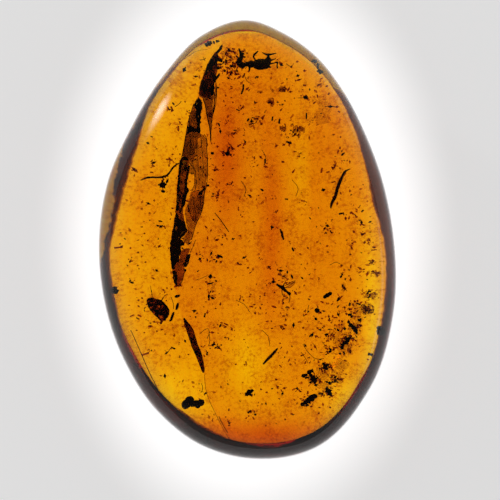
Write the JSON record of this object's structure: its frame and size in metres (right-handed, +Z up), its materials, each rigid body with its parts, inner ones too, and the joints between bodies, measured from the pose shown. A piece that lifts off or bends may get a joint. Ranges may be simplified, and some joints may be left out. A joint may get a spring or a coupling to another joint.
{
  "type": "insect in amber",
  "caption": "Polished egg-shaped piece of clear orange amber, domed on top and flat underneath, with insects, bark film and plant crumbs sealed inside.",
  "frame": {"origin": "middle of the flat back, on the surface that the stone lies on", "axes": "+Z up through the domed face, +Y to the narrow end, +X to the right as seen from above"},
  "size_m": [0.021, 0.031, 0.01],
  "materials": {
    "amber": "clear orange amber, polished to a gloss, see-through",
    "insect_black": "black insect shell, slightly shiny",
    "beetle_brown": "mottled red-brown insect shell",
    "bark": "dark brown bark skin and crumbs, dull",
    "plant": "dark brown needle, twig, rootlet and plant hair, dull",
    "dropping": "dark green-brown droppings of fine chewed plant matter, dull"
  },
  "bodies": {
    "root": {"amber_lower": "amber", "amber_upper": "amber", "ant": "insect_black", "midge": "insect_black", "beetle": "beetle_brown", "bark_film_upper": "bark", "bark_film_lower": "bark", "crumb_lower_middle": "bark", "crumb_swarm_large": "bark", "crumb_swarm_long": "bark", "crumb_swarm_small": "bark", "crumb_curved": "bark", "crumb_fuzzy": "bark", "crumb_pale": "bark", "crumb_middle": "bark", "crumb_streak": "bark", "crumb_top": "bark", "crumb_top_edge": "bark", "crumb_left_edge": "bark", "needle": "plant", "twig": "plant", "rootlet": "plant", "stellate_hair": "plant", "rod_straight": "plant", "rod_upper": "plant", "rod_by_film": "plant", "rod_by_beetle": "plant", "rod_bent": "plant", "dropping_two_lobed": "dropping", "pellet_round": "dropping", "pellet_edge": "dropping", "pellet_oval": "dropping"}
  },
  "joints": []
}
